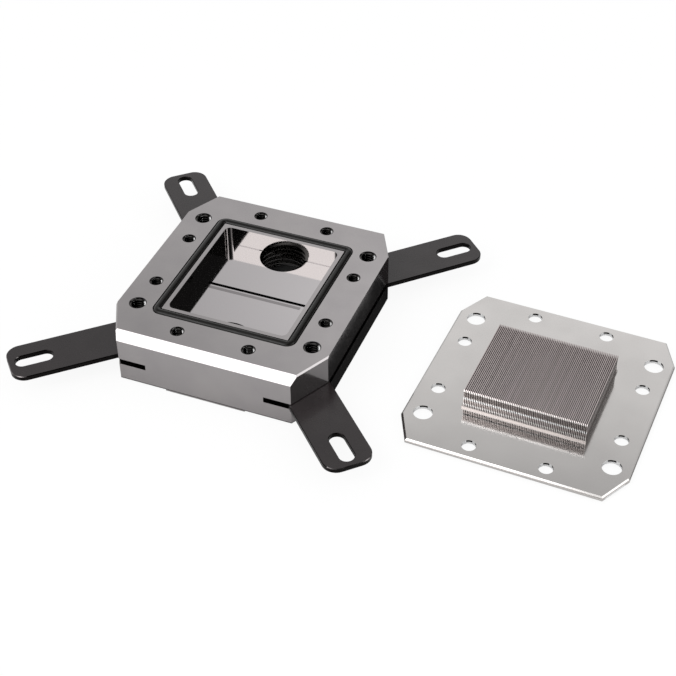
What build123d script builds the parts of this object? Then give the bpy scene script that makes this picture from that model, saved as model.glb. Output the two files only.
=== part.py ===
from build123d import *
from math import cos, radians, sin, sqrt
import os

# A water block for cooling a processor, lying open with its cavity up, as it is when it is taken apart.
# Its pieces are the milled housing, the O-ring in its groove, the two bracket plates that lie loosely
# in the housing's side slots, and the cold plate with its skived fins, which lies beside the housing.
# Millimetres, +Z up. The origin is under the middle of the housing, on the surface that it rests on.
# X runs across the housing, towards the cold plate, and Y along it, away from the viewer.

# Housing
housing_width = 54.0
housing_length = 60.4
housing_height = 13.8
corner_cut_x = 5.1
corner_cut_y = 10.1
end_chamfer = 2.0
corner_edge_break = 0.35
foot_width = 20.2
foot_height = 0.35

# Cavity, with the slit across its floor
cavity_side_wall = 11.85
cavity_end_wall = 13.25
cavity_depth = 5.1
cavity_corner_r = 1.45
slit_end_room = 2.3
slit_y = 0.57
slit_width = 0.65
slit_depth = 2.0

# O-ring and its groove, outside the cavity's rim
rim_width = 1.0
ring_section = 1.9
ring_side_play = 0.3
ring_seat_gap = 0.02
groove_depth = 1.45
groove_path_r = 1.3

# Two pipe ports, G 1/4, measured at the outside of the thread
port_thread_d = 13.157
port_past_cavity_end = 0.05
port_overrun = 0.15
port_mouth_break = 0.6

# Screw holes that the housing and the cold plate share, measured in from the housing's outline
corner_hole_side_inset = 4.7
corner_hole_end_inset = 12.07
side_hole_inset = 5.03
side_hole_pitch = 18.14
end_hole_inset = 6.06
end_hole_pitch = 18.02
corner_thread_d = 4.0
small_thread_d = 3.0
small_hole_depth = 6.0

# Bracket plates and the side slots that hold them
bracket_thickness = 1.3
bracket_slip = 0.2
bracket_slot_z = 4.75
bracket_slot_depth = 12.0
bracket_inner_play = 1.5
strip_width = 8.7
strip_corner_overlap = 2.0
arm_width = 11.7
arm_reach = 60.0
arm_tip_r = 3.4
arm_slot_width = 3.66
arm_slot_length = 9.1
arm_slot_end_wall = 1.5
bracket_edge_break = 0.15
# How each plate lies in its slots: turned about the housing's middle, then moved
left_turn = -2.48
left_move_x = -0.96
left_move_y = -0.51
right_turn = -0.64
right_move_x = -0.26
right_move_y = 0.15

# Cold plate, beside the housing
plate_gap = 18.16
plate_centre_y = 0.25
plate_turn = -2.14
plate_side_inset = 0.1
plate_end_inset = 2.3
plate_cut_x = 3.95
plate_cut_y = 7.8
flange_thickness = 1.0
flange_edge_break = 0.45
contact_width = 36.0
contact_length = 36.0
contact_height = 0.5
corner_hole_clearance = 0.58
small_hole_clearance = 0.4

# Fin pad and skived fins
pad_side_clearance = 0.35
pad_end_room = 3.85
pad_height = 0.5
fin_side_ledge = 0.15
fin_end_ledge = 0.4
fin_pitch = 0.42
fin_thickness = 0.2
fin_floor_gap = 0.05
fin_waist_in = 0.3
fin_waist_share = 0.55

# Worked out from the sizes above
cavity_width = housing_width - 2 * cavity_side_wall
cavity_length = housing_length - 2 * cavity_end_wall
cavity_floor_z = housing_height - cavity_depth
slit_length = cavity_width - 2 * slit_end_room
groove_width = ring_section + ring_side_play
groove_path_w = cavity_width + 2 * rim_width + groove_width
groove_path_l = cavity_length + 2 * rim_width + groove_width
groove_floor_z = housing_height - groove_depth
port_y = cavity_length / 2 + port_past_cavity_end
bracket_slot_height = bracket_thickness + bracket_slip
bracket_slot_top_z = bracket_slot_z + bracket_slot_height
slot_end_x = housing_width / 2 - bracket_slot_depth
strip_inner_x = slot_end_x + bracket_inner_play
strip_outer_x = strip_inner_x + strip_width
arm_half_across = arm_width / sqrt(2)
strip_half_length = strip_outer_x - arm_half_across + strip_corner_overlap
arm_slot_outer = arm_reach - arm_slot_end_wall
arm_slot_inner = arm_slot_outer - arm_slot_length
plate_width = housing_width - 2 * plate_side_inset
plate_length = housing_length - 2 * plate_end_inset
plate_centre_x = housing_width / 2 + plate_gap + plate_width / 2
flange_top_z = contact_height + flange_thickness
pad_width = cavity_width - 2 * pad_side_clearance
pad_length = cavity_length - 2 * pad_end_room
pad_top_z = flange_top_z + pad_height
fin_count = int((pad_width - 2 * fin_side_ledge - fin_thickness) / fin_pitch) + 1
fin_length = pad_length - 2 * fin_end_ledge
fin_height = cavity_depth - fin_floor_gap - pad_height

corner_hole_x = housing_width / 2 - corner_hole_side_inset
corner_hole_y = housing_length / 2 - corner_hole_end_inset
side_hole_x = housing_width / 2 - side_hole_inset
end_hole_y = housing_length / 2 - end_hole_inset
corner_holes = [(sx * corner_hole_x, sy * corner_hole_y) for sx in (-1, 1) for sy in (-1, 1)]
small_holes = [(sx * side_hole_x, sy * side_hole_pitch / 2) for sx in (-1, 1) for sy in (-1, 1)]
small_holes += [(sx * end_hole_pitch / 2, sy * end_hole_y) for sx in (-1, 1) for sy in (-1, 1)]


def turned_plane(x, y, turn, height=0.0):
    """A level plane at (x, y, height), with its own X axis turned by this many degrees."""
    across = (cos(radians(turn)), sin(radians(turn)), 0)
    return Plane(origin=(x, y, height), x_dir=across, z_dir=(0, 0, 1))


def cut_corner_outline(width, length, cut_x, cut_y):
    """The points of a rectangle with its four corners cut off."""
    hx = width / 2
    hy = length / 2
    return [
        (hx, cut_y - hy), (hx, hy - cut_y), (hx - cut_x, hy), (cut_x - hx, hy),
        (-hx, hy - cut_y), (-hx, cut_y - hy), (cut_x - hx, -hy), (hx - cut_x, -hy),
    ]


# The housing is milled from one block. It is drawn as the plan's outline, cut by its side view, which
# has the chamfers along both ends.
with BuildPart() as housing:
    with BuildSketch(Plane.XY.offset(foot_height)):
        Polygon(*cut_corner_outline(housing_width, housing_length, corner_cut_x, corner_cut_y), align=None)
    extrude(amount=housing_height - foot_height)
    with BuildSketch(Plane.YZ):
        end_y = housing_length / 2
        Polygon(
            (-end_y, 0), (end_y, 0), (end_y, housing_height - end_chamfer),
            (end_y - end_chamfer, housing_height), (end_chamfer - end_y, housing_height),
            (-end_y, housing_height - end_chamfer), align=None,
        )
    extrude(amount=housing_width, both=True, mode=Mode.INTERSECT)

    # A fine edge break runs along the top of the four corner cuts
    top_edges = housing.faces().sort_by(Axis.Z)[-1].edges()
    slanted = [e for e in top_edges if abs(e.tangent_at(0.5).X) > 0.1 and abs(e.tangent_at(0.5).Y) > 0.1]
    chamfer(slanted, length=corner_edge_break)

    # The raised band underneath is what the housing lies on, and the ports' fittings seal against it
    with BuildSketch(Plane.XY):
        Rectangle(foot_width, housing_length)
    extrude(amount=foot_height)

    # Side slots for the bracket plates, through from end to end
    with BuildSketch(Plane.XY.offset(bracket_slot_z)):
        with Locations((slot_end_x + housing_width / 2, 0), (-slot_end_x - housing_width / 2, 0)):
            Rectangle(housing_width, housing_length + housing_width)
    extrude(amount=bracket_slot_height, mode=Mode.SUBTRACT)

    # Cavity
    with BuildSketch(Plane.XY.offset(cavity_floor_z)):
        RectangleRounded(cavity_width, cavity_length, cavity_corner_r)
    extrude(amount=cavity_depth, mode=Mode.SUBTRACT)

    # Slit across the middle of the cavity's floor, narrow and deep
    with BuildSketch(Plane.XY.offset(cavity_floor_z - slit_depth)):
        with Locations((0, slit_y)):
            SlotOverall(slit_length, slit_width)
    extrude(amount=slit_depth, mode=Mode.SUBTRACT)

    # O-ring groove, as a cutter of the groove's width leaves it
    with BuildSketch(Plane.XY.offset(groove_floor_z)):
        RectangleRounded(
            groove_path_w + groove_width, groove_path_l + groove_width, groove_path_r + groove_width / 2
        )
        RectangleRounded(
            groove_path_w - groove_width, groove_path_l - groove_width,
            groove_path_r - groove_width / 2, mode=Mode.SUBTRACT,
        )
    extrude(amount=groove_depth, mode=Mode.SUBTRACT)

    # Ports, bored from below until they open into the cavity's two ends
    with BuildSketch(Plane.XY):
        with Locations((0, port_y), (0, -port_y)):
            Circle(port_thread_d / 2)
    extrude(amount=cavity_floor_z + port_overrun, mode=Mode.SUBTRACT)
    port_mouths = [
        e for e in housing.edges().filter_by(GeomType.CIRCLE)
        if abs(e.radius - port_thread_d / 2) < 0.01 and abs(e.center().Z) < 0.01
    ]
    chamfer(port_mouths, length=port_mouth_break)

    # Corner screw holes run on into the side slots, so that their screws clamp the bracket plates
    with BuildSketch(Plane.XY.offset(bracket_slot_top_z)):
        with Locations(*corner_holes):
            Circle(corner_thread_d / 2)
    extrude(amount=housing_height - bracket_slot_top_z, mode=Mode.SUBTRACT)
    # The small screw holes are blind
    with BuildSketch(Plane.XY.offset(housing_height - small_hole_depth)):
        with Locations(*small_holes):
            Circle(small_thread_d / 2)
    extrude(amount=small_hole_depth, mode=Mode.SUBTRACT)
housing.part.label = "housing"

# The O-ring lies in its groove, a little proud of the housing's top
ring_z = groove_floor_z + ring_seat_gap + ring_section / 2
with BuildPart() as o_ring:
    with BuildLine(Plane.XY.offset(ring_z)) as ring_path:
        half_w = groove_path_w / 2
        half_l = groove_path_l / 2
        FilletPolyline(
            (half_w, -half_l), (half_w, half_l), (-half_w, half_l), (-half_w, -half_l),
            radius=groove_path_r, close=True,
        )
    with BuildSketch(Plane(origin=ring_path.wire() @ 0, z_dir=ring_path.wire() % 0)):
        Circle(ring_section / 2)
    sweep()
o_ring.part.label = "o_ring"


def bracket_outline(side):
    """Draws a bracket plate on the right, or on the left for side -1: a strip with two slotted arms."""
    with Locations((side * (strip_inner_x + strip_outer_x) / 2, 0)):
        Rectangle(strip_width, 2 * strip_half_length)
    arm_start = strip_inner_x / 2
    arm_middle = (arm_start + arm_reach) / 2 / sqrt(2)
    for end in (-1, 1):
        with Locations((side * arm_middle, end * arm_middle)):
            RectangleRounded(arm_reach - arm_start, arm_width, arm_tip_r, rotation=side * end * 45)
    # The plate ends at the strip's inner edge, short of the slot's end
    with Locations((side * (strip_inner_x - arm_reach) / 2, 0)):
        Rectangle(strip_inner_x + arm_reach, 2 * arm_reach, mode=Mode.SUBTRACT)
    slot_middle = (arm_slot_inner + arm_slot_outer) / 2 / sqrt(2)
    for end in (-1, 1):
        with Locations((side * slot_middle, end * slot_middle)):
            SlotOverall(arm_slot_length, arm_slot_width, rotation=side * end * 45, mode=Mode.SUBTRACT)


# The bracket plates are cut from sheet and lie on the lower faces of their slots
with BuildPart() as bracket_left:
    with BuildSketch(turned_plane(left_move_x, left_move_y, left_turn, bracket_slot_z)):
        bracket_outline(-1)
    extrude(amount=bracket_thickness)
    chamfer(bracket_left.faces().filter_by(Axis.Z).edges(), length=bracket_edge_break)
bracket_left.part.label = "bracket_left"

with BuildPart() as bracket_right:
    with BuildSketch(turned_plane(right_move_x, right_move_y, right_turn, bracket_slot_z)):
        bracket_outline(1)
    extrude(amount=bracket_thickness)
    chamfer(bracket_right.faces().filter_by(Axis.Z).edges(), length=bracket_edge_break)
bracket_right.part.label = "bracket_right"

# The cold plate is one piece of metal: a flange with a raised contact face below, a pad above it, and
# the fins that are skived up from the pad. The fins' ends are drawn in at a waist.
plate_on_floor = turned_plane(plate_centre_x, plate_centre_y, plate_turn)
fin_side_view = Plane(
    origin=(plate_centre_x, plate_centre_y, 0), x_dir=plate_on_floor.y_dir, z_dir=plate_on_floor.x_dir
)
with BuildPart() as cold_plate:
    with BuildSketch(plate_on_floor.offset(pad_top_z)):
        with GridLocations(fin_pitch, 0, fin_count, 1):
            Rectangle(fin_thickness, fin_length)
    extrude(amount=fin_height)
    with BuildSketch(fin_side_view):
        fin_end_y = fin_length / 2
        waist_y = fin_end_y - fin_waist_in
        waist_z = pad_top_z + fin_height * fin_waist_share
        fin_top_z = pad_top_z + fin_height
        Polygon(
            (-fin_end_y, pad_top_z), (fin_end_y, pad_top_z), (waist_y, waist_z), (fin_end_y, fin_top_z),
            (-fin_end_y, fin_top_z), (-waist_y, waist_z), align=None,
        )
    extrude(amount=plate_width, both=True, mode=Mode.INTERSECT)

    with BuildSketch(plate_on_floor.offset(flange_top_z)):
        Rectangle(pad_width, pad_length)
    extrude(amount=pad_height)

    with BuildSketch(plate_on_floor.offset(contact_height)):
        Polygon(*cut_corner_outline(plate_width, plate_length, plate_cut_x, plate_cut_y), align=None)
    extrude(amount=flange_thickness - flange_edge_break)
    with BuildSketch(plate_on_floor.offset(flange_top_z - flange_edge_break)):
        Polygon(*cut_corner_outline(plate_width, plate_length, plate_cut_x, plate_cut_y), align=None)
    extrude(amount=flange_edge_break, taper=45)

    with BuildSketch(plate_on_floor):
        Rectangle(contact_width, contact_length)
    extrude(amount=contact_height)

    with BuildSketch(plate_on_floor.offset(contact_height)):
        with Locations(*corner_holes):
            Circle((corner_thread_d + corner_hole_clearance) / 2)
        with Locations(*small_holes):
            Circle((small_thread_d + small_hole_clearance) / 2)
    extrude(amount=flange_thickness, mode=Mode.SUBTRACT)
cold_plate.part.label = "cold_plate"

os.makedirs("parts", exist_ok=True)
for piece in (housing, o_ring, bracket_left, bracket_right, cold_plate):
    export_step(piece.part, "parts/" + piece.part.label + ".step")
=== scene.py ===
# %% [markdown]
# # A water block, taken apart
# The block cools a processor. Its milled housing lies with the cavity up, with a rubber ring in a groove
# round it and two black bracket plates in slots at its sides. The cold plate with its thin fins lies
# beside it. The solids come ready made, in metres, and this lesson gives them their threads, their
# finishes, the light and the camera.

# %% Load the solids
import math

import bpy
from mathutils import Matrix, Vector


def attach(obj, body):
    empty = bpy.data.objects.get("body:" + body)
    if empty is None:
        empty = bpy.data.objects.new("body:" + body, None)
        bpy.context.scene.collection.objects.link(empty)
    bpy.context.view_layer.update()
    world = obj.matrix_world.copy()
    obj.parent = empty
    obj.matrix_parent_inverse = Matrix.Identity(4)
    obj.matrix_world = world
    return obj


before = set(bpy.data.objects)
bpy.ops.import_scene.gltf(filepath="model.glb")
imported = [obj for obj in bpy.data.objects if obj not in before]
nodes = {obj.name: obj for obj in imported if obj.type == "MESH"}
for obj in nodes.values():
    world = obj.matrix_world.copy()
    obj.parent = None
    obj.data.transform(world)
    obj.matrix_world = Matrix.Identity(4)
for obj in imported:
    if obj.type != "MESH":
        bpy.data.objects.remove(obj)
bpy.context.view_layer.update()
scene = bpy.context.scene
mm = 0.001
print("solids:", sorted(nodes))

# %% [markdown]
# ## Three helpers
# A finish is easier to read when its colours are written as on a screen, in hex, and turned to the linear
# values of a shader in one place. The other two helpers add any node with its settings and its links, so
# that each finish below stays a short list of what it is made from. One habit of Blender is worth knowing
# for that: the Mix node has a share at socket 0, a pair of sockets for numbers at 2 and 3, and a pair for
# colours at 6 and 7. A mixed number comes out at 0 and a mixed colour at 2.

# %% Colours and nodes
def linear(hex_colour):
    """The linear values of a colour that is written in sRGB hex."""
    parts = [int(hex_colour[i:i + 2], 16) / 255 for i in (1, 3, 5)]
    return [p / 12.92 if p <= 0.04045 else ((p + 0.055) / 1.055) ** 2.4 for p in parts] + [1.0]


def feed(tree, node, inputs):
    """Gives a node's inputs their values, or links them to other nodes' outputs."""
    for socket, value in inputs.items():
        if isinstance(value, bpy.types.NodeSocket):
            tree.links.new(value, node.inputs[socket])
        else:
            node.inputs[socket].default_value = value


def add(tree, kind, inputs=None, **settings):
    """Adds one node. Settings are its own options, inputs are values or other nodes' outputs."""
    made = tree.nodes.new(kind)
    for name, value in settings.items():
        setattr(made, name, value)
    feed(tree, made, inputs or {})
    return made


white = linear("#ffffff")
print("grey #808080 is", round(linear("#808080")[0], 4), "in linear values")

# %% [markdown]
# ## What a metal surface has
# Polished metal is never even. The polishing leaves slight clouds, some millimetres wide, and each wipe
# leaves hair lines. A noise that is drawn out along one axis gives the hair lines. Its scale is one over
# the real size, because the coordinates are metres.

# %% Start a finish, with its clouds and hair lines
def start_finish(name):
    """A new material, its tree, its shader and the object's own coordinates."""
    made = bpy.data.materials.new(name)
    made.use_nodes = True
    made.node_tree.nodes.clear()
    shader = add(made.node_tree, "ShaderNodeBsdfPrincipled")
    add(made.node_tree, "ShaderNodeOutputMaterial", {"Surface": shader.outputs[0]})
    place = add(made.node_tree, "ShaderNodeTexCoord").outputs["Object"]
    return made, made.node_tree, shader, place


def clouds(tree, place, size_mm, low, high):
    """A slow change from low to high, in patches of this size. Most of a noise lies between 0.3 and 0.7."""
    patches = add(tree, "ShaderNodeTexNoise", {"Vector": place, "Scale": 1 / (size_mm * mm), "Detail": 3.0})
    return add(tree, "ShaderNodeMapRange", {"Value": patches.outputs[0], "From Min": 0.3, "From Max": 0.7,
                                            "To Min": low, "To Max": high}).outputs[0]


def hair_lines(tree, place, apart_mm, length_mm, turn=0.0):
    """Fine lines along X, or turned from it."""
    scale = (1 / (length_mm * mm), 1 / (apart_mm * mm), 1 / (apart_mm * mm))
    turned = add(tree, "ShaderNodeMapping", {"Vector": place, "Rotation": (0, 0, turn)}).outputs[0]
    drawn_out = add(tree, "ShaderNodeMapping", {"Vector": turned, "Scale": scale}).outputs[0]
    return add(tree, "ShaderNodeTexNoise", {"Vector": drawn_out, "Scale": 1.0, "Detail": 2.0}).outputs[0]


print("hair lines 0.12 mm apart have a scale of", round(1 / (0.12 * mm)))

# %% [markdown]
# A piece that is cut from one block has one material, yet its faces differ, so the material needs to know
# where it is. A zone is 1 between two heights or two sides and 0 elsewhere, and a layer puts another colour
# and roughness there. The wall of a small hole gets two painted highlights, bright streaks left and right of
# its middle, which the direction that the wall faces, its normal, picks out.

# %% Zones, layers and streaks
def zone(tree, *limits):
    """1 where each value lies between its two sizes in mm, and 0 elsewhere."""
    share = None
    for value, low_mm, high_mm in limits:
        for size, operation in ((low_mm, "GREATER_THAN"), (high_mm, "LESS_THAN")):
            inside = add(tree, "ShaderNodeMath", {0: value, 1: size * mm}, operation=operation).outputs[0]
            share = inside if share is None else add(tree, "ShaderNodeMath", {0: share, 1: inside},
                                                     operation="MULTIPLY").outputs[0]
    return share


def layer(tree, share, below, above):
    """Puts one pair of a colour and a roughness over another, by this share."""
    colour = add(tree, "ShaderNodeMix", {0: share, 6: below[0], 7: above[0]}, data_type="RGBA").outputs[2]
    return colour, add(tree, "ShaderNodeMix", {0: share, 2: below[1], 3: above[1]}).outputs[0]


def painted_glint_strips(tree, sideways, middle=0.2, streak_at=0.6, half_width=0.2):
    """1 on the strips of a round wall left and right of its middle, where highlights are painted, by the X,
    from -1 to 1, of its normal.
    """
    from_middle = add(tree, "ShaderNodeMath", {0: sideways, 1: middle}, operation="SUBTRACT").outputs[0]
    from_middle = add(tree, "ShaderNodeMath", {0: from_middle}, operation="ABSOLUTE").outputs[0]
    return add(tree, "ShaderNodeMath", {0: from_middle, 1: streak_at, 2: half_width},
               operation="COMPARE").outputs[0]


print("helpers:", ", ".join(made.__name__ for made in (zone, layer, painted_glint_strips)))

# %% [markdown]
# ## Polished milled aluminium
# The housing is milled from one block of aluminium and polished, so it mirrors the room in a soft grey.
# Its colour is that of the bare metal, a neutral grey with a breath of warmth, and its roughness is low.

# %% Housing and threads
aluminium, tree, shader, place = start_finish("Polished_Milled_Aluminium")
x, y, z = add(tree, "ShaderNodeSeparateXYZ", {0: place}).outputs
from_x, from_y = [add(tree, "ShaderNodeMath", {0: axis}, operation="ABSOLUTE").outputs[0]
                  for axis in (x, y)]
bare = add(tree, "ShaderNodeMix", {0: clouds(tree, place, 9, 0, 1), 6: linear("#aba7a8"),
                                   7: linear("#b2aeae")}, data_type="RGBA").outputs[2]
skin = bare, clouds(tree, place, 6, 0.11, 0.16)
lines = add(tree, "ShaderNodeBump", {"Height": hair_lines(tree, place, 0.12, 8), "Strength": 0.04,
                                     "Distance": 0.02 * mm}).outputs[0]
print(aluminium.name, "has", len(tree.nodes), "nodes so far")

# %% [markdown]
# The cavity is cut with a finer mill, which leaves its floor the lightest and sharpest face, and its walls
# a little less so. Along the foot of the walls a fine dark line is painted shade in the corner, and a band of
# the floor in front of the slit is painted darker. The walls' back right corner, where they mirror only each
# other, is painted dark, as a painted reflection. The port threads are painted a darker grey and the slit
# nearly black, as painted shade in these hollows, and the block's lower edge is painted darker, as a painted
# shadow where it meets the floor. Each of these faces is a zone. Where the block is the same on both sides,
# the zone uses the distance from the middle.

# %% Faces of the housing
hair = 0.02
floor_z = 8.7
in_cavity = (from_x, -1, 15.15 + hair), (from_y, -1, 16.95 + hair)
on_floor = (z, floor_z - hair, floor_z + hair)
# Each row is a face's name, its limits in mm, its colour and its roughness.
faces = [("cavity walls", *in_cavity, (z, floor_z + hair, 13.79), "#a5a2a0", 0.07),
         ("cavity floor", *in_cavity, on_floor, "#c2bebf", 0.07),
         # a band of the floor in front of the slit, painted darker
         ("darker band by the slit", (x, -13.4, 12.0), (y, -1.3, -0.3), on_floor, "#959192", 0.10),
         # painted shade: a dark line along the foot of the cavity walls
         ("painted shade in the corner", *in_cavity, (z, floor_z + hair, 8.86), "#7d7a79", 0.12),
         # painted reflection: the walls' back right corner is painted near black
         ("back right corner", (x, 14.35, 15.17), (y, 16.15, 16.97), (z, 9.0, 13.75), "#1e1c1c", 0.12),
         # painted shade: the slit's walls are painted nearly black
         ("slit", (from_x, -1, 12.95), (y, 0.12, 1.02), (z, 6.6, floor_z + hair), "#121111", 0.30),
         # painted shadow: a darker band along the housing's lower edge, where it meets the floor
         ("painted shadow along the foot", (z, 0.3, 0.6), "#6a6867", 0.14),
         # painted shade: the ports' walls and threads are painted a darker grey
         ("ports", (from_x, -1, 6.62), (from_y, 10.3, 23.7), (z, -0.1, 8.67), "#7c7a79", 0.10)]
for label, *limits, shade, blur in faces:
    skin = layer(tree, zone(tree, *limits), skin, (linear(shade), blur))
    print("zone:", label)
colour, rough = skin

# %% [markdown]
# The edge of each screw hole is broken by a touch of a countersink, about a tenth of a millimetre wide.
# That is finer than the solid shows, so it is a dark ring of painted shade, found by its distance from the
# hole's middle. Below it the wall is painted as a dark thread with a painted highlight, a bright streak, at
# each side.

# %% Screw holes
hole_middles = {"corner": (22.3, 18.13), "side": (21.97, 9.07), "end": (9.01, 24.14)}
ring_radii = {"corner": 2.1, "side": 1.7, "end": 1.7}
facing = add(tree, "ShaderNodeNewGeometry").outputs["Normal"]
sideways = add(tree, "ShaderNodeSeparateXYZ", {0: facing}).outputs[0]
# painted highlights: the hole walls are painted dark, with white streaks at their sides
painted_glint_wall = add(tree, "ShaderNodeMix", {0: painted_glint_strips(tree, sideways), 6: linear("#4a4847"), 7: white},
                 data_type="RGBA").outputs[2]
plan = add(tree, "ShaderNodeCombineXYZ", {0: from_x, 1: from_y}).outputs[0]
# each mouth gets a ring of painted shade, and the wall below it the painted highlights
for label, (hole_x, hole_y) in hole_middles.items():
    off_middle = add(tree, "ShaderNodeVectorMath", {0: plan, 1: (hole_x * mm, hole_y * mm, 0)},
                     operation="DISTANCE").outputs["Value"]
    mouth = (off_middle, -1, ring_radii[label])
    for height, shade in (((z, 13.7, 13.9), linear("#2b2929")), ((z, 6.0, 13.7), painted_glint_wall)):
        colour = add(tree, "ShaderNodeMix", {0: zone(tree, mouth, height), 6: colour, 7: shade},
                     data_type="RGBA").outputs[2]
    rough = add(tree, "ShaderNodeMix", {0: zone(tree, mouth, (z, 6.3, 13.5)), 2: rough, 3: 0.08}).outputs[0]
    print("rings and walls:", label, "holes")
feed(tree, shader, {"Base Color": colour, "Roughness": rough, "Normal": lines, "Metallic": 1.0})
print(aluminium.name, "has", len(tree.nodes), "nodes")

# %% [markdown]
# ## Moulded nitrile rubber
# The sealing ring is moulded in black rubber. It has a low sheen, broken up by the fine texture of its
# mould and by dust, so its highlight is wide and dull.

# %% Sealing ring
rubber, tree, shader, place = start_finish("Moulded_Nitrile_Rubber")
texture = add(tree, "ShaderNodeTexNoise", {"Vector": place, "Scale": 1 / (0.25 * mm),
                                           "Detail": 2.0}).outputs[0]
grain = add(tree, "ShaderNodeBump", {"Height": texture, "Strength": 0.25, "Distance": 0.02 * mm}).outputs[0]
colour = add(tree, "ShaderNodeMix", {0: clouds(tree, place, 4, 0, 1), 6: linear("#0f0e0d"),
                                     7: linear("#181615")}, data_type="RGBA").outputs[2]
feed(tree, shader, {"Base Color": colour, "Roughness": clouds(tree, place, 3, 0.26, 0.36), "Normal": grain,
                    "Specular IOR Level": 0.36})
print(rubber.name, "has", len(tree.nodes), "nodes")

# %% [markdown]
# ## Satin black powder coat
# The bracket plates are steel, cut from sheet and powder coated. The powder melts into a satin skin with a
# faint pebbled grain, a few tenths of a millimetre across, and it is rubbed a little glossier in places.
# The cut edges and their edge breaks are painted darker than the flat faces, as painted shade, and are
# metallic, so that they mirror less, which draws a dark line round each arm. A face that doesn't lie flat is
# found by how little it faces up or down.

# %% Bracket plates
powder_coat, tree, shader, place = start_finish("Satin_Black_Powder_Coat")
pebbles = add(tree, "ShaderNodeTexNoise", {"Vector": place, "Scale": 1 / (0.35 * mm),
                                           "Detail": 2.5}).outputs[0]
grain = add(tree, "ShaderNodeBump", {"Height": pebbles, "Strength": 0.3, "Distance": 0.015 * mm}).outputs[0]
coat = add(tree, "ShaderNodeMix", {0: clouds(tree, place, 7, 0, 1), 6: linear("#251f20"),
                                   7: linear("#2d2728")}, data_type="RGBA").outputs[2]
facing = add(tree, "ShaderNodeNewGeometry").outputs["Normal"]
upward = add(tree, "ShaderNodeSeparateXYZ", {0: facing}).outputs[2]
upward = add(tree, "ShaderNodeMath", {0: upward}, operation="ABSOLUTE").outputs[0]
cut_edge, side_face = [add(tree, "ShaderNodeMath", {0: upward, 1: limit}, operation="LESS_THAN").outputs[0]
                       for limit in (0.85, 0.5)]
# painted shade: the cut edges are painted darker than the coat
colour = add(tree, "ShaderNodeMix", {0: cut_edge, 6: coat, 7: linear("#1a1818")},
             data_type="RGBA").outputs[2]
print(powder_coat.name, "has", len(tree.nodes), "nodes so far")

# %% [markdown]
# On the front arms' tips the edge breaks are painted a light metallic grey, in patches, as painted glints.
# The tips are what lies far from the housing's middle, and an edge break is a cut edge that isn't a side
# face.

# %% Painted glints on the tips
edge_break = add(tree, "ShaderNodeMath", {0: cut_edge, 1: side_face}, operation="SUBTRACT").outputs[0]
from_middle = add(tree, "ShaderNodeVectorMath", {0: place}, operation="LENGTH").outputs["Value"]
y = add(tree, "ShaderNodeSeparateXYZ", {0: place}).outputs[1]
# painted highlights: light patches on the front tips' edge breaks
painted_tip_glint = zone(tree, (from_middle, 58.5, 70), (y, -70, 0))
for share in (edge_break, clouds(tree, place, 3, 0, 1)):
    painted_tip_glint = add(tree, "ShaderNodeMath", {0: painted_tip_glint, 1: share}, operation="MULTIPLY").outputs[0]
colour = add(tree, "ShaderNodeMix", {0: painted_tip_glint, 6: colour, 7: linear("#989393")},
             data_type="RGBA").outputs[2]
feed(tree, shader, {"Base Color": colour, "Roughness": clouds(tree, place, 5, 0.22, 0.30), "Normal": grain,
                    "Metallic": cut_edge, "Specular IOR Level": 0.6})
print(powder_coat.name, "has", len(tree.nodes), "nodes")

# %% [markdown]
# ## Nickel-plated copper
# The cold plate is copper under bright nickel. Its flange is a soft mirror with faint clouds. Its fins are
# shaved up out of the metal by a blade, one after another, which leaves their faces streaked and duller.
# The streaks run along the fins, and the plate lies turned, so the pattern is turned with it. Over the
# height of the fins' ends a colour ramp paints bright bands at the tip, the waist and the foot, as painted
# highlights, with darker painted shade between.

# %% Cold plate, and the painted bands of light on its fins
plate_turn = math.radians(-2.14)
fin_foot, fin_height = 2.0, 4.6
nickel, tree, shader, place = start_finish("Nickel_Plated_Copper")
straightened = add(tree, "ShaderNodeMapping", {"Vector": place, "Rotation": (0, 0, -plate_turn)}).outputs[0]
across, along, z = add(tree, "ShaderNodeSeparateXYZ", {0: straightened}).outputs
flange = add(tree, "ShaderNodeMix", {0: clouds(tree, place, 12, 0, 1), 6: linear("#cecbc9"),
                                     7: linear("#d4d1cf")}, data_type="RGBA").outputs[2]
up_the_fin = add(tree, "ShaderNodeMapRange", {"Value": z, "From Min": fin_foot * mm,
                                              "From Max": (fin_foot + fin_height) * mm}).outputs[0]
# painted highlights and shade over the height of the fins' ends
fin_end_painted_ramp = add(tree, "ShaderNodeValToRGB", {0: up_the_fin})
for end in fin_end_painted_ramp.color_ramp.elements:
    end.color = white
for height_mm, shade in ((2.45, "#ffffff"), (2.8, "#bab2b0"), (3.55, "#d8d0ce"), (3.8, "#ffffff"),
                         (4.15, "#ffffff"), (4.4, "#c0b8b6"), (6.0, "#d6cecc"), (6.2, "#ffffff")):
    fin_end_painted_ramp.color_ramp.elements.new((height_mm - fin_foot) / fin_height).color = linear(shade)
print("fins' ends:", len(fin_end_painted_ramp.color_ramp.elements), "colours over the height")

# %% Streaks along the fins
along_fins = math.radians(90) - plate_turn
streaks = add(tree, "ShaderNodeMix", {0: hair_lines(tree, place, 0.3, 9, along_fins), 6: linear("#cfcccb"),
                                      7: white}, data_type="RGBA").outputs[2]
streaks_over_painted_ramp = add(tree, "ShaderNodeMix", {0: 1.0, 6: fin_end_painted_ramp.outputs[0], 7: streaks}, data_type="RGBA",
             blend_type="MULTIPLY").outputs[2]
print(nickel.name, "has", len(tree.nodes), "nodes so far")

# %% [markdown]
# The fins' tips are cut bright, a little less so towards the back, and each is a little different from the
# next. Deep between the fins their flat sides are painted dark, as painted shade, all but the outer side of
# the last fin on the right, which is painted light. The direction that a face has tells tips, sides and ends
# apart.

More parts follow.
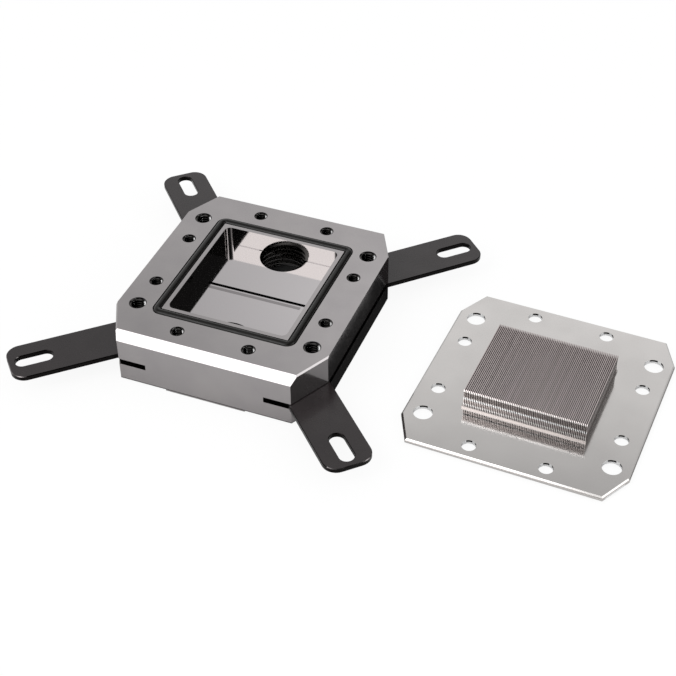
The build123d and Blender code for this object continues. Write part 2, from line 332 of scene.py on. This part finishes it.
# %% Fins' tips and sides
facing = add(tree, "ShaderNodeNewGeometry").outputs["Normal"]
sideways, _, upward = add(tree, "ShaderNodeSeparateXYZ", {0: facing}).outputs
to_a_side = add(tree, "ShaderNodeMath", {0: sideways}, operation="ABSOLUTE").outputs[0]
flank, tip = [add(tree, "ShaderNodeMath", {0: value, 1: 0.7}, operation="GREATER_THAN").outputs[0]
              for value in (to_a_side, upward)]
last_fin = zone(tree, (across, 86.5, 90.0))
# painted shade between the fins, and painted light on the last fin's open side
flank_painted_dark = add(tree, "ShaderNodeMix", {0: last_fin, 6: linear("#655e5d"), 7: linear("#cac3c1")},
                  data_type="RGBA").outputs[2]
toward_back = add(tree, "ShaderNodeMapRange", {"Value": along, "From Min": -9.7 * mm,
                                               "From Max": 15.6 * mm}).outputs[0]
tip_shade = add(tree, "ShaderNodeMix", {0: toward_back, 6: linear("#f4e8e7"), 7: linear("#dccfce")},
                data_type="RGBA").outputs[2]
fin_by_fin = add(tree, "ShaderNodeMix", {0: hair_lines(tree, place, 0.8, 60, along_fins),
                                         6: linear("#c4c2c1"), 7: white}, data_type="RGBA").outputs[2]
tip_shade = add(tree, "ShaderNodeMix", {0: 1.0, 6: tip_shade, 7: fin_by_fin}, data_type="RGBA",
                blend_type="MULTIPLY").outputs[2]
fin_skin_with_painted_light = streaks_over_painted_ramp, 0.17
fin_skin_with_painted_light = layer(tree, flank, fin_skin_with_painted_light, (flank_painted_dark, 0.42))
fin_skin_with_painted_light = layer(tree, tip, fin_skin_with_painted_light, (tip_shade, 0.25))
print(nickel.name, "has", len(tree.nodes), "nodes so far")

# %% [markdown]
# The plate's levels lie one above the other: the foot of the flange's edge break, the flange with its
# holes, the pad that the fins stand on, and the fins. In the holes only upright faces count, because the
# edge breaks round the plate lie at the same height. The holes' walls are painted white, as a painted
# reflection of the lit floor, with a dark arc at the top in their middle, a painted reflection of the shade
# under the flange, between two painted highlights.

# %% Levels of the plate
inside = zone(tree, (across, 45.8, 98.2), (along, -24.1, 30.0))
upright = add(tree, "ShaderNodeMath", {0: upward, 1: 0.5}, operation="LESS_THAN").outputs[0]
in_hole = add(tree, "ShaderNodeMath", {0: inside, 1: upright}, operation="MULTIPLY").outputs[0]
# painted reflection: a dark arc at the top middle of the holes' walls
arc_of_painted_reflection = add(tree, "ShaderNodeMath", {0: in_hole, 1: painted_glint_strips(tree, sideways)}, operation="SUBTRACT",
               use_clamp=True).outputs[0]
skin = flange, clouds(tree, place, 10, 0.10, 0.15)
everywhere = 1.0
# Each row is a level's name, where it is in plan, its height in mm, its colour and its roughness.
# painted shade: a grey line at the foot of the flange's edge break
levels = [("foot of the edge break", everywhere, (z, 1.05, 1.2), (linear("#8b8785"), 0.2)),
          # painted reflection: the holes' walls are painted white
          ("holes", in_hole, (z, 0.51, 1.49), (white, 0.1)),
          ("holes, dark arc", arc_of_painted_reflection, (z, 1.0, 1.49), (linear("#121111"), 0.1)),
          ("pad", inside, (z, 1.51, 2.02), (linear("#b4aeac"), 0.22)),
          ("fins", inside, (z, 2.02, 20.0), fin_skin_with_painted_light)]
for label, in_plan, height, above in levels:
    share = add(tree, "ShaderNodeMath", {0: in_plan, 1: zone(tree, height)},
                operation="MULTIPLY").outputs[0]
    skin = layer(tree, share, skin, above)
    print("level:", label)

# %% [markdown]
# The blade leaves a small burr along the front of the tips and a ridge at the waist, both too fine for the
# solid. They are bumps: the height falls off at 45 degrees, so that they face the lamp and shine.

# %% Burr and ridge
fins_front, burr_width, ridge_z, ridge_height = -9.76, 0.3, 3.72, 0.4
burr = add(tree, "ShaderNodeMath", {0: along, 1: (fins_front + burr_width) * mm},
           operation="SUBTRACT").outputs[0]
burr = add(tree, "ShaderNodeMath", {0: burr, 1: 0.0}, operation="MINIMUM").outputs[0]
burr = add(tree, "ShaderNodeMath", {0: burr, 1: zone(tree, (z, 6.0, 7.0))}, operation="MULTIPLY").outputs[0]
ridge = add(tree, "ShaderNodeMapRange", {"Value": z, "From Min": ridge_z * mm,
                                         "From Max": (ridge_z + ridge_height) * mm, "To Min": 0.0,
                                         "To Max": -ridge_height * mm}).outputs[0]
profile = add(tree, "ShaderNodeMath", {0: burr, 1: ridge}, operation="ADD").outputs[0]
edges = add(tree, "ShaderNodeBump", {"Height": profile, "Strength": 1.0, "Distance": 1.0}).outputs[0]
feed(tree, shader, {"Base Color": skin[0], "Roughness": skin[1], "Normal": edges, "Metallic": 1.0})
print(nickel.name, "has", len(tree.nodes), "nodes")

# %% [markdown]
# ## Dress the solids
# Each solid keeps its mesh as it came. Only the materials in its slots are exchanged for the finishes.

# %% Give each solid its finish
finishes = {"housing": aluminium, "o_ring": rubber, "bracket_left": powder_coat,
            "bracket_right": powder_coat, "cold_plate": nickel}
for name, finish in finishes.items():
    for slot in nodes[name].material_slots:
        slot.material = finish
    print(name, "has", finish.name)

# %% [markdown]
# ## Screw threads
# A tapped hole carries a V-shaped ridge that climbs round its wall by one pitch in each turn. A spiral
# with a swept profile would need cutting where it meets the cavity's floor. A sleeve is simpler: a grid
# rolled into a tube, whose rows climb with the thread. Each point's height is held between the sleeve's
# two ends, and its radius then follows from its height and its angle, so the thread is cut off cleanly.
# The tree is the same for every hole. Its inputs are the real sizes, and it puts one sleeve at each point
# of the mesh that it is given.

# %% The tree's inputs
THREAD_SIZES = ("Major Radius", "Minor Radius", "Pitch", "Length", "Phase", "Bottom Lead Radius",
                "Wall Rise", "Wall Side", "Overlap")
sleeve = bpy.data.node_groups.new("Thread_Sleeve", "GeometryNodeTree")
interface = sleeve.interface
interface.new_socket("Holes", in_out="INPUT", socket_type="NodeSocketGeometry")
for name in THREAD_SIZES:
    interface.new_socket(name, in_out="INPUT", socket_type="NodeSocketFloat")
interface.new_socket("Around", in_out="INPUT", socket_type="NodeSocketInt")
interface.new_socket("Finish", in_out="INPUT", socket_type="NodeSocketMaterial")
interface.new_socket("Threads", in_out="OUTPUT", socket_type="NodeSocketGeometry")
given = add(sleeve, "NodeGroupInput").outputs
print("inputs:", [s.name for s in interface.items_tree if s.in_out == "INPUT"])

# %% [markdown]
# The arithmetic is written as a table, where each row is one step: its name, what it does, and the numbers
# or the names of earlier steps that it works on. Rows of points go in pairs: one pair for the flat of a
# crest, the next for the flat of a root, half a pitch further on. The flats are a quarter and an eighth of
# the pitch wide. The rows start two turns below the hole, so that they fill it all the way round.

# %% Rows that climb
crest_flat, root_flat = 1 / 4, 1 / 8
turns_below, spare_pairs, closing_rows = 2.0, 11.0, 3.0
climbing = [
    ("turns in all", "DIVIDE", "Length", "Pitch"),
    ("pairs", "MULTIPLY_ADD", "turns in all", 2.0, spare_pairs),
    ("whole pairs", "CEIL", "pairs"),
    ("rows", "MULTIPLY_ADD", "whole pairs", 2.0, closing_rows),
    ("columns", "ADD", "Around", 1.0),
    ("middle of index", "ADD", "index", 0.5),
    ("column and part", "DIVIDE", "middle of index", "rows"),
    ("column", "FLOOR", "column and part"),
    ("rows before", "MULTIPLY", "column", "rows"),
    ("row", "SUBTRACT", "index", "rows before"),
    ("turn", "DIVIDE", "column", "Around"),
    ("angle", "MULTIPLY", "turn", 2 * math.pi),
    ("middle of row", "SUBTRACT", "row", 0.5),
    ("half of that", "MULTIPLY", "middle of row", 0.5),
    ("pair", "FLOOR", "half of that"),
    ("odd pair", "FLOORED_MODULO", "pair", 2.0),
    ("row from first", "SUBTRACT", "row", 1.0),
    ("second row", "FLOORED_MODULO", "row from first", 2.0),
    ("flat", "MULTIPLY_ADD", "odd pair", root_flat - crest_flat, crest_flat),
    ("side of flat", "SUBTRACT", "second row", 0.5),
    ("off the pair", "MULTIPLY", "side of flat", "flat"),
    ("height of pair", "MULTIPLY_ADD", "pair", 0.5, -turns_below),
    ("pitches up", "ADD", "height of pair", "off the pair")]
print(len(climbing), "steps give each point its row, its angle and its climb")

# %% [markdown]
# A thread's profile goes from the crest's flat down a straight flank to the root's flat. How far a point is
# from the crest, in pitches, gives its depth. At the port's bottom a plain cone leads in. On the cavity's
# wall side the port's thread runs on a little higher.

# %% Heights and radii
flank_width = (1 - crest_flat - root_flat) / 2
radii = [
    ("sine", "SINE", "angle"),
    ("toward the wall", "MULTIPLY", "sine", "Wall Side"),
    ("on wall side", "GREATER_THAN", "toward the wall", 0.0),
    ("rise here", "MULTIPLY", "on wall side", "Wall Rise"),
    ("top", "ADD", "Length", "rise here"),
    ("pitches and turn", "ADD", "pitches up", "turn"),
    ("with phase", "ADD", "pitches and turn", "Phase"),
    ("climb", "MULTIPLY", "with phase", "Pitch"),
    ("above bottom", "MAXIMUM", "climb", 0.0),
    ("height", "MINIMUM", "above bottom", "top"),
    ("height in pitches", "DIVIDE", "height", "Pitch"),
    ("less turn", "SUBTRACT", "height in pitches", "turn"),
    ("phase here", "SUBTRACT", "less turn", "Phase"),
    ("nearest crest", "ROUND", "phase here"),
    ("to the crest", "SUBTRACT", "phase here", "nearest crest"),
    ("from crest", "ABSOLUTE", "to the crest"),
    ("past the flat", "SUBTRACT", "from crest", crest_flat / 2),
    ("down the flank", "DIVIDE", "past the flat", flank_width),
    ("depth from 0", "MAXIMUM", "down the flank", 0.0),
    ("depth", "MINIMUM", "depth from 0", 1.0),
    ("thread height", "SUBTRACT", "Major Radius", "Minor Radius"),
    ("thread radius", "MULTIPLY_ADD", "depth", "thread height", "Minor Radius"),
    ("bottom lead", "SUBTRACT", "Bottom Lead Radius", "height"),
    ("inner radius", "MAXIMUM", "thread radius", "bottom lead")]
print(len(radii), "steps give each point its height and its radius")

# %% [markdown]
# The first row and the last two close the tube behind the thread, a hair inside the metal, so that the
# sleeve is a closed body of its own.

# %% Close the sleeve
closing = [
    ("outer radius", "ADD", "Major Radius", "Overlap"),
    ("is first", "LESS_THAN", "row", 0.5),
    ("before the last", "SUBTRACT", "rows", 1.5),
    ("is last", "GREATER_THAN", "row", "before the last"),
    ("last but one", "SUBTRACT", "rows", 2.0),
    ("is top back", "COMPARE", "row", "last but one", 0.5),
    ("is low", "ADD", "is first", "is last"),
    ("is back", "ADD", "is low", "is top back"),
    ("is inside", "SUBTRACT", 1.0, "is back"),
    ("radius if inside", "MULTIPLY", "inner radius", "is inside"),
    ("radius", "MULTIPLY_ADD", "outer radius", "is back", "radius if inside"),
    ("height if inside", "MULTIPLY", "height", "is inside"),
    ("level", "MULTIPLY_ADD", "top", "is top back", "height if inside"),
    ("cosine", "COSINE", "angle"),
    ("x", "MULTIPLY", "radius", "cosine"),
    ("y", "MULTIPLY", "radius", "sine")]
known = {name: given[name] for name in (*THREAD_SIZES, "Around")}
known["index"] = add(sleeve, "GeometryNodeInputIndex").outputs[0]
for name, operation, *values in climbing + radii + closing:
    inputs = {socket: known.get(value, value) for socket, value in enumerate(values)}
    known[name] = add(sleeve, "ShaderNodeMath", inputs, operation=operation).outputs[0]
print("steps in all:", len(climbing + radii + closing))

# %% Put a sleeve in each hole
grid = add(sleeve, "GeometryNodeMeshGrid", {"Vertices X": known["columns"], "Vertices Y": known["rows"]})
spot = add(sleeve, "ShaderNodeCombineXYZ", {0: known["x"], 1: known["y"], 2: known["level"]}).outputs[0]
rolled = add(sleeve, "GeometryNodeSetPosition", {"Geometry": grid.outputs["Mesh"],
                                                 "Position": spot}).outputs[0]
weld_distance = 0.0005 * mm
welded = add(sleeve, "GeometryNodeMergeByDistance", {"Geometry": rolled,
                                                     "Distance": weld_distance}).outputs[0]
outward = add(sleeve, "GeometryNodeFlipFaces", {"Mesh": welded}).outputs[0]
placed = add(sleeve, "GeometryNodeInstanceOnPoints", {"Points": given["Holes"],
                                                      "Instance": outward}).outputs[0]
real = add(sleeve, "GeometryNodeRealizeInstances", {"Geometry": placed}).outputs[0]
dressed = add(sleeve, "GeometryNodeSetMaterial", {"Geometry": real, "Material": given["Finish"]}).outputs[0]
add(sleeve, "NodeGroupOutput", {"Threads": dressed})
print("the tree has", len(sleeve.nodes), "nodes")

# %% [markdown]
# The tree's result is kept as a plain mesh, which travels to any other program. Edges sharper than 35
# degrees stay sharp, and the rest of the metal is shaded smooth.

# %% Make threads from the tree
def cut_threads(name, holes_mm, bottom_mm, around, **sizes_mm):
    """Threaded sleeves for holes at these places, as one plain mesh. Phase is in turns, the rest in mm."""
    mesh = bpy.data.meshes.new(name)
    mesh.from_pydata([(x * mm, y * mm, bottom_mm * mm) for x, y in holes_mm], [], [])
    piece = bpy.data.objects.new(name, mesh)
    scene.collection.objects.link(piece)
    modifier = piece.modifiers.new("Thread", "NODES")
    modifier.node_group = sleeve
    sizes = {"Overlap": 0.03, **{key.replace("_", " ").title(): size for key, size in sizes_mm.items()}}
    for socket in interface.items_tree:
        if socket.name in sizes:
            unit = 1.0 if socket.name in ("Phase", "Wall Side") else mm
            modifier[socket.identifier] = sizes[socket.name] * unit
        elif socket.name == "Around":
            modifier[socket.identifier] = around
        elif socket.name == "Finish":
            modifier[socket.identifier] = aluminium
    solid = bpy.data.meshes.new_from_object(piece.evaluated_get(bpy.context.evaluated_depsgraph_get()))
    piece.modifiers.remove(modifier)
    piece.data = solid
    solid.name = name
    solid.polygons.foreach_set("use_smooth", [True] * len(solid.polygons))
    solid.set_sharp_from_angle(angle=math.radians(35))
    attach(piece, "root")
    print(name, "has", len(solid.polygons), "faces in", len(holes_mm), "holes")


# %% [markdown]
# The pipe ports have a G 1/4 thread, 19 turns to the inch. They open into the cavity's floor, half under
# its end walls, where the thread runs on a little higher than the floor. The twelve screw holes have M4
# and M3 threads, which start a little below the top.

# %% Ports and screw holes
port = dict(bottom_mm=0.6, around=72, major_radius=6.5785, pitch=1.337, length=8.098,
            bottom_lead_radius=6.5785, wall_rise=0.15)
cut_threads("thread_port_back", [(0, 17.0)], minor_radius=5.72, wall_side=1.0, phase=0.67, **port)
cut_threads("thread_port_front", [(0, -17.0)], minor_radius=5.85, wall_side=-1.0, phase=0.91, **port)
corner, side, end = [[(sx * hole_x, sy * hole_y) for sx in (-1, 1) for sy in (-1, 1)]
                     for hole_x, hole_y in hole_middles.values()]
cut_threads("threads_corner_holes", corner, bottom_mm=6.5, around=32, major_radius=2.0, minor_radius=1.62,
            pitch=0.7, length=6.95, phase=0.18)
cut_threads("threads_small_holes", side + end, bottom_mm=8.4, around=28, major_radius=1.5,
            minor_radius=1.23, pitch=0.5, length=5.05, phase=0.35)

# %% [markdown]
# ## Floor, backdrop and light
# Metal shows what is round it, so the room matters as much as the finish. The floor and the far backdrop
# are plain white, and the lamps stay at a level where a colour comes out as it is written. The floor still
# takes the object's shadow.

# %% White floor
floor_mesh = bpy.data.meshes.new("floor")
half = 3.0
floor_mesh.from_pydata([(-half, -half, 0), (half, -half, 0), (half, half, 0), (-half, half, 0)], [],
                       [(0, 1, 2, 3)])
floor = bpy.data.objects.new("floor", floor_mesh)
scene.collection.objects.link(floor)
print("the floor is", 2 * half, "m wide")

# %% [markdown]
# For the camera most of the floor's white is its own glow, so the shadow is faint. The camera also looks
# through glass with transmission rays, so these count with it. A mirror sees white paper that is lit, with
# its full shadows, which keeps the metal's lower faces grey. Under the housing there is no glow, so that
# the ports look down into the dark.

# %% White studio paper
def straight_view(tree, ray):
    """1 for rays that look at the background straight or through glass, from the Light Path's outputs."""
    return add(tree, "ShaderNodeMath", {0: ray["Is Camera Ray"], 1: ray["Is Transmission Ray"]},
               operation="MAXIMUM").outputs[0]


camera_glow, mirror_glow = 0.91, 0.05
paper = bpy.data.materials.new("White_Studio_Paper")
paper.use_nodes = True
tree = paper.node_tree
tree.nodes.clear()
ray = add(tree, "ShaderNodeLightPath").outputs
straight = straight_view(tree, ray)
mirrored = add(tree, "ShaderNodeMath", {0: ray["Is Glossy Ray"], 1: mirror_glow},
               operation="MULTIPLY").outputs[0]
glow = add(tree, "ShaderNodeMath", {0: straight, 1: camera_glow, 2: mirrored},
           operation="MULTIPLY_ADD").outputs[0]
place = add(tree, "ShaderNodeTexCoord").outputs["Object"]
x, y, _ = add(tree, "ShaderNodeSeparateXYZ", {0: place}).outputs
under_housing = zone(tree, (x, -14, 14), (y, -27, 27))
open_air = add(tree, "ShaderNodeMath", {0: 1.0, 1: under_housing}, operation="SUBTRACT").outputs[0]
glow = add(tree, "ShaderNodeMath", {0: glow, 1: open_air}, operation="MULTIPLY").outputs[0]
paper_shade = add(tree, "ShaderNodeMix", {0: straight, 6: linear("#eeeeee"), 7: linear("#606060")},
                  data_type="RGBA").outputs[2]
lit = add(tree, "ShaderNodeBsdfDiffuse", {"Color": paper_shade}).outputs[0]
own = add(tree, "ShaderNodeEmission", {"Color": white, "Strength": glow}).outputs[0]
both = add(tree, "ShaderNodeAddShader", {0: lit, 1: own}).outputs[0]
add(tree, "ShaderNodeOutputMaterial", {"Surface": both})
floor_mesh.materials.append(paper)
print(paper.name, "has", len(tree.nodes), "nodes")

# %% [markdown]
# The world is white for the camera, and round the horizon for mirrors too. Higher up, mirrors see the room.
# It falls off to the far left and with the height, which gives the metal its slow change from light to
# grey, and it is light again straight overhead, for views from above. Its right half is dark, which draws
# the cavity's walls, all but a low part in front. Each row of the first table is one such slope, over the
# direction that a mirror looks in: its name, the part of the direction that it follows, from where to where
# it goes, and its first and last value. The second table puts the slopes together, each by a share.

# %% What mirrors see of the room
world = bpy.data.worlds.new("Studio_Room")
scene.world = world
world.use_nodes = True
tree = world.node_tree
tree.nodes.clear()
toward = add(tree, "ShaderNodeTexCoord").outputs["Generated"]
side, away, up = add(tree, "ShaderNodeSeparateXYZ", {0: toward}).outputs
slopes = [("above the horizon", up, 0.30, 0.50, 0.0, 1.0),
          ("height of the left", up, 0.59, 0.625, 0.0, 1.0),
          ("left to middle", side, -0.40, -0.27, 0.6, 1.0),
          ("height of the right", up, 0.05, 0.20, 0.0, 1.0),
          ("middle to right", side, -0.03, 0.28, 1.0, 0.02),
          ("in front", away, -0.35, -0.05, 1.0, 0.0),
          ("low", up, 0.40, 0.55, 1.0, 0.0),
          ("high", up, 0.64, 0.80, 1.0, 0.35),
          ("step up high", up, 0.695, 0.73, 1.0, 0.75),
          ("overhead", up, 0.86, 0.96, 1.0, 2.9)]
mixes = [("left", "height of the left", 0.79, "left to middle"),
         ("far room", "above the horizon", 1.0, "left"),
         ("right", "height of the right", 1.0, "middle to right"),
         ("low in front", "in front", 0.0, "low"),
         ("right, open in front", "low in front", "right", 1.0)]
print("slopes of the room:", len(slopes), "put together by", len(mixes), "mixes")

# %% The room's nodes
room = {}
for name, direction, start, stop, first, last in slopes:
    room[name] = add(tree, "ShaderNodeMapRange", {"Value": direction, "From Min": start, "From Max": stop,
                                                  "To Min": first, "To Max": last}).outputs[0]
for name, *values in mixes:
    share, first, last = [room.get(value, value) for value in values]
    room[name] = add(tree, "ShaderNodeMix", {0: share, 2: first, 3: last}).outputs[0]
level = room["far room"]
for name in ("high", "step up high", "right, open in front", "overhead"):
    level = add(tree, "ShaderNodeMath", {0: level, 1: room[name]}, operation="MULTIPLY").outputs[0]
print("the room has", len(tree.nodes), "nodes so far")

# %% [markdown]
# For the camera, and through glass, the world is plain white. For everything else that isn't a mirror it is
# an even, quieter light.

# %% World
ray = add(tree, "ShaderNodeLightPath").outputs
backdrop_level, quiet_level = 1.0, 0.6
mirrored, backdrop, quiet = [
    add(tree, "ShaderNodeBackground", {"Color": white, "Strength": strength}).outputs[0]
    for strength in (level, backdrop_level, quiet_level)]
seen = add(tree, "ShaderNodeMixShader", {0: ray["Is Glossy Ray"], 1: quiet, 2: mirrored}).outputs[0]
seen = add(tree, "ShaderNodeMixShader", {0: straight_view(tree, ray), 1: seen, 2: backdrop}).outputs[0]
add(tree, "ShaderNodeOutputWorld", {"Surface": seen})
print(world.name, "has", len(tree.nodes), "nodes")

# %% [markdown]
# One large soft lamp stands in front, on the left. It whitens the chamfer along the front edge and, by way
# of the cavity's floor, the cavity's far wall. A smaller one on the right draws the bright lines along the
# corner cuts that face it.

# %% Soft lamps
def soft_lamp(name, towards, distance, width, brightness):
    """A square lamp in this direction, facing the block. Brightness is what a mirror shows of it."""
    data = bpy.data.lights.new(name, "AREA")
    data.shape = "SQUARE"
    data.size = width
    data.energy = math.pi * brightness * width * width
    lamp = bpy.data.objects.new(name, data)
    scene.collection.objects.link(lamp)
    lamp.location = Vector(towards).normalized() * distance
    lamp.rotation_euler = Vector(towards).to_track_quat("Z", "Y").to_euler()
    lamp.visible_camera = False
    print(name, "gives", round(data.energy, 2), "W")


soft_lamp("lamp_front_left", towards=(-0.35, -0.66, 0.695), distance=1.0, width=0.55, brightness=2.6)
soft_lamp("lamp_right", towards=(0.88, 0.12, 0.45), distance=1.0, width=0.5, brightness=1.9)

# %% [markdown]
# Two cards just above the floor stand in for dark and grey floor beside the housing, which only mirrors see:
# they are a painted reflection, and neither light nor shade anything, and the camera doesn't see them. A dark
# card lies along the housing's right side, and a light grey one beyond it, which the corner cut on the right
# mirrors.

# %% Cards that only mirrors see
def mirror_only_card(name, left, right, front, back, shade):
    """A card just above the floor that only mirrors see. Its sides are in mm."""
    lift = 0.1
    mesh = bpy.data.meshes.new(name)
    corners_mm = [(left, front, lift), (right, front, lift), (right, back, lift), (left, back, lift)]
    mesh.from_pydata([[c * mm for c in corner_mm] for corner_mm in corners_mm], [], [(0, 1, 2, 3)])
    card = bpy.data.objects.new(name, mesh)
    scene.collection.objects.link(card)
    card.visible_camera = False
    card.visible_diffuse = False
    card.visible_shadow = False
    card.visible_transmission = False
    board = bpy.data.materials.new(name + "_board")
    board.use_nodes = True
    board.node_tree.nodes.clear()
    matt = add(board.node_tree, "ShaderNodeBsdfDiffuse", {"Color": linear(shade)}).outputs[0]
    add(board.node_tree, "ShaderNodeOutputMaterial", {"Surface": matt})
    mesh.materials.append(board)
    print(name, "is in place")


mirror_only_card("card_right", left=26.5, right=33.5, front=-20, back=52, shade="#3c3c3c")
mirror_only_card("card_corner", left=33.5, right=46, front=-26, back=-8, shade="#c0c0c0")

# %% [markdown]
# ## Camera
# The photograph was taken from the front, about 22 degrees round to the right and 41 degrees above the
# table, from about 35 centimetres away. The camera is placed by these values, and by what it aims at.

# %% Camera
round_to_right = math.radians(21.78)
above_table = math.radians(40.82)
tilt = math.radians(-0.487)
aim = Vector((23.719, -5.679, 7.0)) * mm
distance = 354.955 * mm
toward_camera = Vector((math.sin(round_to_right) * math.cos(above_table),
                        -math.cos(round_to_right) * math.cos(above_table), math.sin(above_table)))
camera = bpy.data.objects.new("camera", bpy.data.cameras.new("camera"))
scene.collection.objects.link(camera)
camera.data.sensor_width = 36.0
camera.data.lens = 79.726
camera.data.clip_start = 0.01
camera.location = aim + toward_camera * distance
level_view = (-toward_camera).to_track_quat("-Z", "Y").to_matrix()
camera.rotation_euler = (level_view @ Matrix.Rotation(tilt, 3, "Z")).to_euler()
scene.camera = camera
scene.view_settings.view_transform = "Standard"
print("camera at", [round(c / mm, 2) for c in camera.location], "mm")
